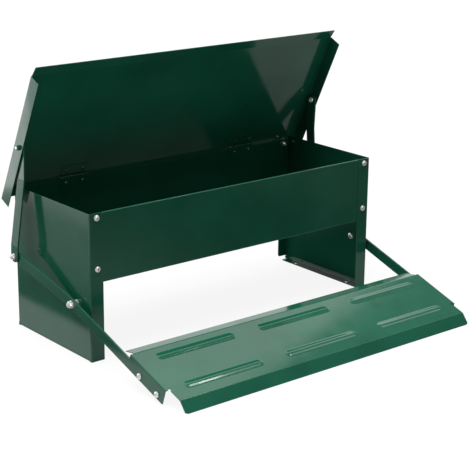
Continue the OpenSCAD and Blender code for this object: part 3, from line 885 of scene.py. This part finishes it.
wall = side_panel()
piece("left_side_panel", repeated(wall, [LEFT]), "body")
piece("right_side_panel", wall, "body")
piece("front_panel", front_panel(), "body")
piece("back_panel", back_panel(), "body")
piece("trough_floor", trough_floor(), "body")
fasteners("trough_floor_rivets", blind_rivet(2 * SHEET_T), floor_rivets, "body", GREEN_SLOT)
fasteners("front_panel_screws", panel_screw, front_screws, "body")
fasteners("front_panel_nuts", m5_nut, [p @ behind_two for p in front_screws], "body")
fasteners("back_panel_screws", panel_screw, back_screws, "body")
fasteners("back_panel_nuts", m5_nut, [p @ behind_two for p in back_screws], "body")


def at_pivot(x):
    return shifted(x, PIVOT.y, PIVOT.z) @ FACING_OUT_X


washer_x = ARM_X + BAR_T + HOLE_GAP
pivot_nut_x = washer_x + WASHER_H
pivot_grip = pivot_nut_x + M6_NUT[2] + SHANK_TAIL - HALF_W + SHEET_T
pivot_bolt = repeated(pan_screw(M6, pivot_grip), [at_pivot(HALF_W - SHEET_T) @ REVERSED])
fasteners("left_pivot_bolt", pivot_bolt, [LEFT], "body")
fasteners("right_pivot_bolt", pivot_bolt, [RIGHT], "body")
fasteners("pivot_washers", washer(M6_WASHER), on_both_sides([at_pivot(washer_x)]), "body")
fasteners("pivot_nuts", m6_nut, on_both_sides([at_pivot(pivot_nut_x)]), "body")

leaf_place = axes((1, 0, 0), (0, 0, 1), (LEAF_X, LEAF_FACE, HINGE.z - LEAF_H))
leaf = hinge_leaf(HINGE.y - LEAF_FACE, 0, leaf_place)
piece("left_body_hinge_leaf", repeated(leaf, [LEFT]), "body")
piece("right_body_hinge_leaf", leaf, "body")
fasteners("body_hinge_rivets", blind_rivet(LEAF_T + SHEET_T), leaf_rivets, "body", GREEN_SLOT)

# ---------------------------- lid


def lid_panel():
    """Lid with two side flanges and a front lip, and where the link bolt is in it.

    The flat pattern is the outer face, which is up when the lid is closed.
    """
    mid = (LID_REAR - LID_FRONT) / 2
    half = (LID_REAR + LID_FRONT) / 2
    flange = folded(LID_HALF, (90, LID_BEND_R, LID_FLANGE))
    lip = folded(half, (LID_LIP_BEND, LIP_BEND_R, LID_LIP))
    inner = LID_HALF - LIP_INSET
    tip = LID_HALF - LIP_TAPER
    slit = inner + LIP_SLIT
    outline = mirrored_outline([
        (tip - LIP_CORNER, -lip.end), (tip, LIP_CORNER - lip.end), (inner, -half - LIP_EASE),
        (inner, LIP_RELIEF - half), (slit, LIP_RELIEF - half), (slit, LIP_EASE - half),
        (flange.end, LIP_EASE - half), (flange.end, half)])
    bolt_v = HINGE.y - LINK_TOP.y
    along = math.hypot(bolt_v, LINK_TOP.z - HINGE.z)
    drop_angle = math.atan2(LINK_TOP.z - HINGE.z, bolt_v) - LID_OPEN
    bolt_along, bolt_below = along * math.cos(drop_angle), -along * math.sin(drop_angle)
    bolt_u = on_last(flange, bolt_below + LID_UNDER + SHEET_T)
    holes = [(side * bolt_u, -bolt_along - mid, M5_HOLE) for side in (-1, 1)]
    holes += [(side * LEAF_X + x, -RIVET_DROP - mid, RIVET_HOLE_R)
              for side in (-1, 1) for x in LEAF_RIVETS_X]
    folds = [(0, -1, flange, -half, half), (0, 1, flange, -half, half),
             (1, -1, lip, -inner, inner)]
    place = IN_LID @ shifted(0, mid, LID_UNDER + SHEET_T)
    return sheet(outline, place, folds, holes), bolt_along, bolt_below


lid_shape, LINK_ALONG, LINK_BELOW = lid_panel()
piece("lid_panel", lid_shape, "lid")
leaf_place = IN_LID @ axes((1, 0, 0), (0, 1, 0), (LEAF_X, -LEAF_H, LID_UNDER))
leaf = hinge_leaf(LID_UNDER, 1, leaf_place)
piece("left_lid_hinge_leaf", repeated(leaf, [LEFT]), "lid")
piece("right_lid_hinge_leaf", leaf, "lid")
lid_rivets = on_both_sides([
    IN_LID @ shifted(LEAF_X + x, -RIVET_DROP, LID_UNDER - LEAF_T) @ REVERSED
    for x in LEAF_RIVETS_X])
fasteners("lid_hinge_rivets", blind_rivet(LEAF_T + SHEET_T), lid_rivets, "lid", GREEN_SLOT)


def at_lid_link(x):
    return IN_LID @ shifted(x, -LINK_ALONG, -LINK_BELOW) @ FACING_OUT_X


link_head_x = LINK_TOP_X - GAP
lid_screw = pan_screw(M5, LID_HALF + M5_NUT[2] + SHANK_TAIL - link_head_x)
fasteners("lid_link_bolts", lid_screw,
          on_both_sides([at_lid_link(link_head_x) @ REVERSED]), "lid")
fasteners("lid_link_nuts", m5_nut, on_both_sides([at_lid_link(LID_HALF)]), "lid", GREEN_SLOT)

# ---------------------------- treadle


def treadle_plate():
    """Plate with six beads, two side flanges, a nose and a heel flange, and round relief bays."""
    mid = -PLATE_START - PLATE_DEPTH / 2
    half = PLATE_DEPTH / 2
    side = folded(TREADLE_HALF, (90, BEND_R, SIDE_FLANGE))
    nose = folded(half, (NOSE_BEND, NOSE_BEND_R, NOSE_FLANGE))
    heel = folded(half, (HEEL_BEND, HEEL_BEND_R, HEEL_FLANGE))
    flange_front = half - SIDE_FLANGE_LEN
    heel_slit = half - HEEL_SLIT_DEPTH
    bay = [(NOSE_HALF + RELIEF_R * math.cos(t), flange_front + RELIEF_R * math.sin(t))
           for t in (math.pi * (-0.5 - 0.1 * i) for i in range(16))]
    outline = mirrored_outline([
        (NOSE_HALF - 2 * NOSE_CUT, -nose.end), (NOSE_HALF, NOSE_CUT - nose.end), *bay,
        (side.end - SIDE_FLANGE_CORNER, flange_front),
        (side.end, flange_front + SIDE_FLANGE_CORNER),
        (side.end, half - CORNER_CUT), (side.end - CORNER_CUT, half),
        (HEEL_HALF + HEEL_SLIT, half), (HEEL_HALF + HEEL_SLIT, heel_slit),
        (HEEL_HALF, heel_slit), (HEEL_HALF, heel.end)])
    holes = [(way * on_last(side, PLATE_RISE), -s - mid, M5_HOLE)
             for way in (-1, 1) for s in TREADLE_SCREWS]
    beads = [(x, -s - mid, (BEAD_LEN - BEAD_W) / 2, BEAD_W / 2, BEAD_RISE)
             for x in BEAD_COLS for s in BEAD_ROWS]
    folds = [(0, -1, side, flange_front, half), (0, 1, side, flange_front, half),
             (1, -1, nose, -NOSE_HALF, NOSE_HALF), (1, 1, heel, -HEEL_HALF, HEEL_HALF)]
    return sheet(outline, IN_TREADLE @ shifted(0, mid, PLATE_RISE), folds, holes, beads)


def flat_bar(width, start, path, place, holes):
    """A flat bar with round ends. start is the length before v = 0, and path follows from there."""
    r = width / 2
    middle = (path.end - start) / 2
    outline = [(y, x + middle) for x, y in reversed(stadium(0, 0, (path.end + start) / 2 - r, r))]
    return sheet(outline, place, [(1, 1, path, -width, width)], holes, thick=BAR_T,
                 edge=BAR_EDGE)


def joggle(first, ramp, step, last):
    """A bar's path that leaves one plane at first and reaches the next after ramp."""
    degrees = math.degrees(math.atan2(step, ramp))
    slant = math.hypot(ramp, step)
    return folded(first, (degrees, BAR_BEND_R, slant), (-degrees, BAR_BEND_R, last))


def treadle_arm():
    r = ARM_W / 2
    start, stop = ARM_FLARE
    path = joggle(start, stop - start, ARM_X - ARM_REAR_X, ARM_REAR + r - stop)
    place = IN_TREADLE @ axes((0, 0, -1), (0, 1, 0), (ARM_X + BAR_T, 0, 0))
    holes = [(0, 0, M6_BORE), (0, path.end - r, M5_HOLE)]
    holes += [(0, -s, M5_HOLE) for s in TREADLE_SCREWS]
    return flat_bar(ARM_W, ARM_END + r, path, place, holes)


def link_bar():
    r = LINK_W / 2
    start, stop = LINK_FLARE
    path = joggle(start, stop - start, LINK_LOW_X - LINK_TOP_X, LINK_LEN + r - stop)
    place = IN_LINK @ axes((0, 1, 0), (0, 0, 1), (LINK_LOW_X + BAR_T, 0, 0))
    holes = [(0, 0, M5_BORE), (0, path.end - r, M5_BORE)]
    return flat_bar(LINK_W, r, path, place, holes)


piece("treadle_plate", treadle_plate(), "treadle")
arm, bar = treadle_arm(), link_bar()
screw_places = on_both_sides([IN_TREADLE @ shifted(TREADLE_HALF, -s, 0) @ FACING_OUT_X
                              for s in TREADLE_SCREWS])
treadle_screw = pan_screw(M5, SHEET_T + BAR_T + M5_NUT[2] + SHANK_TAIL)
behind_arm = shifted(0, 0, -SHEET_T - BAR_T) @ REVERSED
fasteners("treadle_screws", treadle_screw, screw_places, "treadle")
fasteners("treadle_nuts", m5_nut, [p @ behind_arm for p in screw_places], "treadle")


def at_arm_link(x):
    return shifted(x, LINK_LOW.y, LINK_LOW.z) @ FACING_OUT_X


arm_bolt = pan_screw(M5, BAR_T)
fasteners("arm_link_bolts", arm_bolt,
          on_both_sides([at_arm_link(ARM_REAR_X) @ REVERSED]), "treadle")

link_washer_x = LINK_LOW_X + BAR_T + GAP
link_nut_x = link_washer_x + WASHER_H
link_stud = stud(link_nut_x + M5_NUT[2] + SHANK_TAIL - LINK_LOW_X)
link_washer = washer(M5_WASHER)
for name, side in (("left", LEFT), ("right", RIGHT)):
    link = name + "_link"
    piece(name + "_treadle_arm", repeated(arm, [side]), "treadle")
    piece(link + "_bar", repeated(bar, [side]), link)
    fasteners(link + "_stud", link_stud, [side @ at_arm_link(LINK_LOW_X)], link)
    fasteners(link + "_washer", link_washer, [side @ at_arm_link(link_washer_x)], link)
    fasteners(link + "_nut", m5_nut, [side @ at_arm_link(link_nut_x)], link)

# These are turned pieces that hardly show, so they keep their CAD meshes
for node in ("hinge_pins", "pivot_bushes", "lid_link_spacers"):
    kept = frame["nodes"][node]
    kept.data.materials.clear()
    kept.data.materials.append(ZINC)

# ---------------------------- camera

# Degrees, metres, and millimetres for the lens
CAMERA_AZIMUTH, CAMERA_ELEVATION, CAMERA_ROLL = -39.51, 17.03, 0.59
CAMERA_DISTANCE, CAMERA_TARGET, CAMERA_LENS = 2.538, (0.0812, 0, 0.1136), 109.5


def make_camera():
    turn, rise, roll = (math.radians(a) for a in (CAMERA_AZIMUTH, CAMERA_ELEVATION, CAMERA_ROLL))
    back = Vector((math.sin(turn) * math.cos(rise), -math.cos(turn) * math.cos(rise),
                   math.sin(rise)))
    right = Vector((math.cos(turn), math.sin(turn), 0))
    level = Matrix((right, back.cross(right), back)).transposed().to_4x4()
    data = bpy.data.cameras.new("camera")
    data.lens = CAMERA_LENS
    data.clip_end = 100
    camera = bpy.data.objects.new("camera", data)
    bpy.context.scene.collection.objects.link(camera)
    place = Vector(CAMERA_TARGET) + back * CAMERA_DISTANCE
    camera.matrix_world = Matrix.Translation(place) @ level @ Matrix.Rotation(roll, 4, "Z")
    bpy.context.scene.camera = camera


make_camera()

# ---------------------------- studio

# Sizes and places are in metres here
FLOOR_SIZE = 60
MIRROR_DROP = 0.0006
FLOOR_GREY, FLOOR_GLOW = (0.045, 0.045, 0.045, 1), 0.9
WHITE = (1, 1, 1, 1)
NOT_GLOSSY = ("camera", "diffuse", "transmission", "volume_scatter", "shadow")


def card(name, size, place, material, *unseen):
    """A flat rectangle of the studio, facing along its place's Z, that some rays don't meet."""
    mesh = bpy.data.meshes.new(name)
    x, y = size[0] / 2, size[1] / 2
    mesh.from_pydata([(-x, -y, 0), (x, -y, 0), (x, y, 0), (-x, y, 0)], [], [(0, 1, 2, 3)])
    mesh.materials.append(material)
    made = bpy.data.objects.new(name, mesh)
    made.matrix_world = place
    for ray in unseen:
        setattr(made, "visible_" + ray, False)
    bpy.context.scene.collection.objects.link(made)


def facing(place, target):
    """A place whose Z points at the target."""
    way = Vector(target) - Vector(place)
    return Matrix.Translation(place) @ way.to_track_quat("Z", "Y").to_matrix().to_4x4()


def emitting(name, strength=1.0):
    """A material that only glows, and its strength socket."""
    material = bpy.data.materials.new(name)
    material.use_nodes = True
    material.cycles.emission_sampling = "NONE"
    tree = material.node_tree
    tree.nodes.remove(tree.nodes["Principled BSDF"])
    glow = tree.nodes.new("ShaderNodeEmission")
    glow.inputs["Strength"].default_value = strength
    tree.links.new(glow.outputs[0], tree.nodes["Material Output"].inputs["Surface"])
    return material, tree, glow.inputs["Strength"]


def ramp(tree, value, span, result=(0, 1)):
    """A soft step from the first result to the second over a span."""
    step = ranged(tree, value, span, result)
    step.node.interpolation_type = "SMOOTHSTEP"
    return step


def parts_of(tree, output):
    """X, Y and Z of a texture coordinate."""
    place = tree.nodes.new("ShaderNodeTexCoord")
    split = tree.nodes.new("ShaderNodeSeparateXYZ")
    tree.links.new(place.outputs[output], split.inputs[0])
    return split.outputs


def floor_material():
    """A white floor that is bright by itself, so that it only takes faint shadows."""
    material, tree, shader = nodes_of("studio_floor")
    shader.inputs["Base Color"].default_value = FLOOR_GREY
    shader.inputs["Roughness"].default_value = 0.9
    shader.inputs["Specular IOR Level"].default_value = 0
    shader.inputs["Emission Color"].default_value = WHITE
    shader.inputs["Emission Strength"].default_value = FLOOR_GLOW
    material.cycles.emission_sampling = "NONE"
    return material


# Where the glow of the mirrored floor rises or falls: spans of x or y
STRIPE_LEFT, STRIPE_RIGHT = (-0.395, -0.365), (-0.29, -0.31)
LEFT_NEAR, LEFT_FAR, LEFT_END = (-0.38, -0.6), (-0.6, -0.8), (-0.28, -0.30)
BACK_START, BACK_LEFT = (0.15, 0.55), (-0.45, -0.25)
RIGHT_START, RIGHT_FRONT = (0.31, 0.42), (-0.35, -0.15)
FRONT_MIDDLE, FRONT_RIGHT, FRONT_START = (-0.1, 0.35), (0.35, 0.8), (-0.12, -0.4)
NEAR_FRONT, NEAR_BACK = (-0.36, -0.26), (-0.08, -0.14)
# How bright its patches are at the two ends of such a span
STRIPE_GLOW, LEFT_GLOW, FAR_GLOW, RIGHT_GLOW = (0, 0.9), (0.12, 0.45), (0, 1.1), (0, 0.4)
MIDDLE_GLOW, FRONT_GLOW, NEAR_GLOW = (0.3, 0.03), (0, 0.12), (0, 0.5)


def mirrored_floor():
    """What glossy paint sees below it: bright behind, banded on the left, dark in front."""
    material, tree, strength = emitting("mirrored_floor")
    x, y, _ = parts_of(tree, "Object")
    stripe = multiplied(tree, ramp(tree, x, STRIPE_LEFT, STRIPE_GLOW), ramp(tree, x, STRIPE_RIGHT))
    left = brightest(tree, stripe, ramp(tree, x, LEFT_NEAR, LEFT_GLOW),
                     ramp(tree, x, LEFT_FAR, FAR_GLOW))
    left = multiplied(tree, left, ramp(tree, x, LEFT_END))
    back = multiplied(tree, ramp(tree, y, BACK_START), ramp(tree, x, BACK_LEFT))
    right = multiplied(tree, ramp(tree, x, RIGHT_START, RIGHT_GLOW), ramp(tree, y, RIGHT_FRONT))
    front = brightest(tree, ramp(tree, x, FRONT_MIDDLE, MIDDLE_GLOW),
                      ramp(tree, x, FRONT_RIGHT, FRONT_GLOW))
    front = multiplied(tree, front, ramp(tree, y, FRONT_START))
    near = multiplied(tree, ramp(tree, y, NEAR_FRONT, NEAR_GLOW), ramp(tree, y, NEAR_BACK))
    front = brightest(tree, front, near)
    tree.links.new(brightest(tree, left, back, right, front), strength)
    return material


# Spans of a direction's y and z over which the world grows brighter, and how bright it gets
WORLD_BEHIND, WORLD_LOW, WORLD_DEPTH = (0.1, 0.4), (0.45, 0.25), (-0.6, 0.5)
BEHIND_GLOW, DEPTH_GLOW = (0, 1.1), (0.14, 0.3)


def studio_world():
    """Bright and low behind, dim in front and above. The camera sees plain white."""
    world = bpy.data.worlds.new("studio")
    world.use_nodes = True
    tree = world.node_tree
    _, y, z = parts_of(tree, "Generated")
    behind = multiplied(tree, ramp(tree, y, WORLD_BEHIND), ramp(tree, z, WORLD_LOW))
    glow = brightest(tree, ramp(tree, behind, (0, 1), BEHIND_GLOW),
                     ramp(tree, y, WORLD_DEPTH, DEPTH_GLOW))
    seen = tree.nodes.new("ShaderNodeLightPath").outputs["Is Camera Ray"]
    background = tree.nodes["Background"]
    tree.links.new(brightest(tree, glow, seen), background.inputs["Strength"])
    background.inputs["Color"].default_value = WHITE
    bpy.context.scene.world = world


def soft_light(name, kind, place, target, **settings):
    """A light that neither the camera nor a glossy ray meets."""
    data = bpy.data.lights.new(name, kind)
    for key, value in settings.items():
        setattr(data, key, value)
    light = bpy.data.objects.new(name, data)
    light.visible_camera = False
    light.visible_glossy = False
    light.matrix_world = facing(place, target) @ REVERSED
    bpy.context.scene.collection.objects.link(light)


card("studio_floor", (FLOOR_SIZE, FLOOR_SIZE), Matrix.Identity(4), floor_material(), "glossy")
card("mirrored_floor", (FLOOR_SIZE, FLOOR_SIZE), shifted(0, 0, -MIRROR_DROP), mirrored_floor(),
     *NOT_GLOSSY)
# Cards that only glossy rays meet: name, size, place, strength
for name, size, place, glow in (
        ("overhead", (3.4, 1.6), shifted(0.716, 1.057, 1.6) @ turned(17, "Z") @ REVERSED, 1.75),
        ("side", (0.6, 0.6), facing((-0.496, 0.905, 0.33), (0.014, 0.045, 0.33)), 3.2),
        ("front", (1.6, 0.8), facing((0, -2.2, 1.4), (0, 0, 0.2)), 6),
        ("lamp", (0.12, 0.09), shifted(0.765, -0.265, 1.5) @ REVERSED, 20),
        ("strip", (2.0, 0.4), shifted(0.9, -0.4, 1.6) @ REVERSED, 2.2)):
    card("mirrored_" + name, size, place, emitting(name, glow)[0], *NOT_GLOSSY)
studio_world()
soft_light("sky", "SUN", (-0.15, 0.08, 1), (0, 0, 0.15), energy=8.2, angle=math.radians(60))
soft_light("fill", "AREA", (0.2, -2.4, 1.1), (0, 0.1, 0.3), energy=7, size=1.4)
bpy.context.scene.view_settings.view_transform = "Standard"
